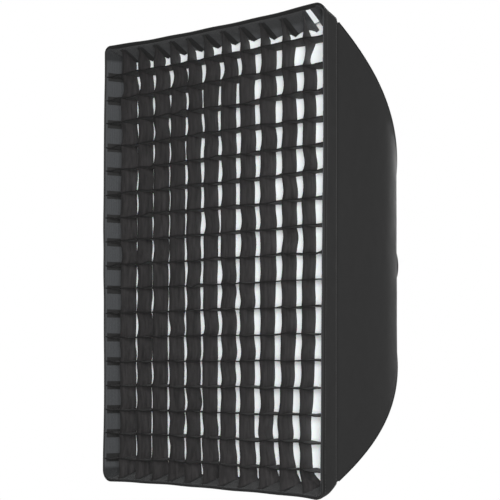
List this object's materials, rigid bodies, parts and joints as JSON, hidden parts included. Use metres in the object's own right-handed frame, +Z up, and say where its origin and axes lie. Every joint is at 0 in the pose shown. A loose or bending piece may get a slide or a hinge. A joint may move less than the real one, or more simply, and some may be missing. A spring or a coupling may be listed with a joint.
{
  "type": "rectangular softbox",
  "caption": "Rectangular fabric softbox on flexible rods with a turning bayonet speedring, inner baffle, white front diffuser and a soft egg-crate grid.",
  "frame": {"origin": "centre of the bayonet insert's bore at its rear seating face", "axes": "+Y back along the softbox's axis to the light, +Z up along the long side of the front, +X along the short side"},
  "size_m": [0.6, 0.511, 0.9],
  "materials": {
    "insert_metal": "satin, die cast and machined",
    "ring_paint": "matt black powder coat",
    "bright_steel": "zinc plated",
    "rod_steel": "polished spring steel",
    "washer_plastic": "smooth nylon",
    "tip_plastic": "moulded",
    "shell_nylon": "coated black nylon, fine plain weave",
    "silver_lining": "silver coated cloth, softly dimpled",
    "black_webbing": "woven black binding tape",
    "black_elastic": "ribbed black elastic",
    "lip_nylon": "doubled black nylon",
    "loop_tape": "brushed loop tape",
    "hook_band": "dark grey band with fine ribs",
    "grid_cloth": "black polyester strips",
    "diffuser_white": "translucent white diffusion cloth",
    "baffle_white": "translucent white diffusion cloth",
    "snap_metal": "nickel plated press studs"
  },
  "bodies": {
    "insert": {"bayonet_insert": "insert_metal", "slip_washer": "washer_plastic"},
    "softbox": {"speed_ring": "ring_paint", "retaining_clips": "bright_steel", "clip_screws": "bright_steel", "rod_socket_1": "bright_steel", "rod_1": "rod_steel", "rod_ferrule_1": "insert_metal", "rod_tip_1": "tip_plastic", "corner_pocket_1": "black_webbing", "ridge_piping_1": "black_webbing", "rod_socket_2": "bright_steel", "rod_2": "rod_steel", "rod_ferrule_2": "insert_metal", "rod_tip_2": "tip_plastic", "corner_pocket_2": "black_webbing", "ridge_piping_2": "black_webbing", "rod_socket_3": "bright_steel", "rod_3": "rod_steel", "rod_ferrule_3": "insert_metal", "rod_tip_3": "tip_plastic", "corner_pocket_3": "black_webbing", "ridge_piping_3": "black_webbing", "rod_socket_4": "bright_steel", "rod_4": "rod_steel", "rod_ferrule_4": "insert_metal", "rod_tip_4": "tip_plastic", "corner_pocket_4": "black_webbing", "ridge_piping_4": "black_webbing", "shell_panel_top": "shell_nylon", "lining_panel_top": "silver_lining", "shell_panel_bottom": "shell_nylon", "lining_panel_bottom": "silver_lining", "shell_panel_left": "shell_nylon", "lining_panel_left": "silver_lining", "shell_panel_right": "shell_nylon", "lining_panel_right": "silver_lining", "rear_collar": "shell_nylon", "collar_elastic": "black_elastic", "front_lip": "lip_nylon", "lip_binding": "black_webbing", "lip_loop_tape": "loop_tape", "inner_baffle": "baffle_white", "baffle_border": "black_webbing", "baffle_tabs": "black_elastic", "baffle_snaps": "snap_metal"},
    "diffuser": {"diffuser_cloth": "diffuser_white", "diffuser_border": "hook_band"},
    "grid": {"grid_border": "hook_band", "grid_strips_upright": "grid_cloth", "grid_strips_level": "grid_cloth"}
  },
  "joints": [
    {"name": "softbox_turn", "type": "hinge", "parent": "insert", "child": "softbox", "pos_m": [0, 0, 0], "axis": [0, 1, 0], "continuous": true},
    {"name": "diffuser_pull", "type": "slide", "parent": "softbox", "child": "diffuser", "axis": [0, -1, 0], "range_m": [0, 0.1]},
    {"name": "grid_pull", "type": "slide", "parent": "diffuser", "child": "grid", "axis": [0, -1, 0], "range_m": [0, 0.12]}
  ]
}
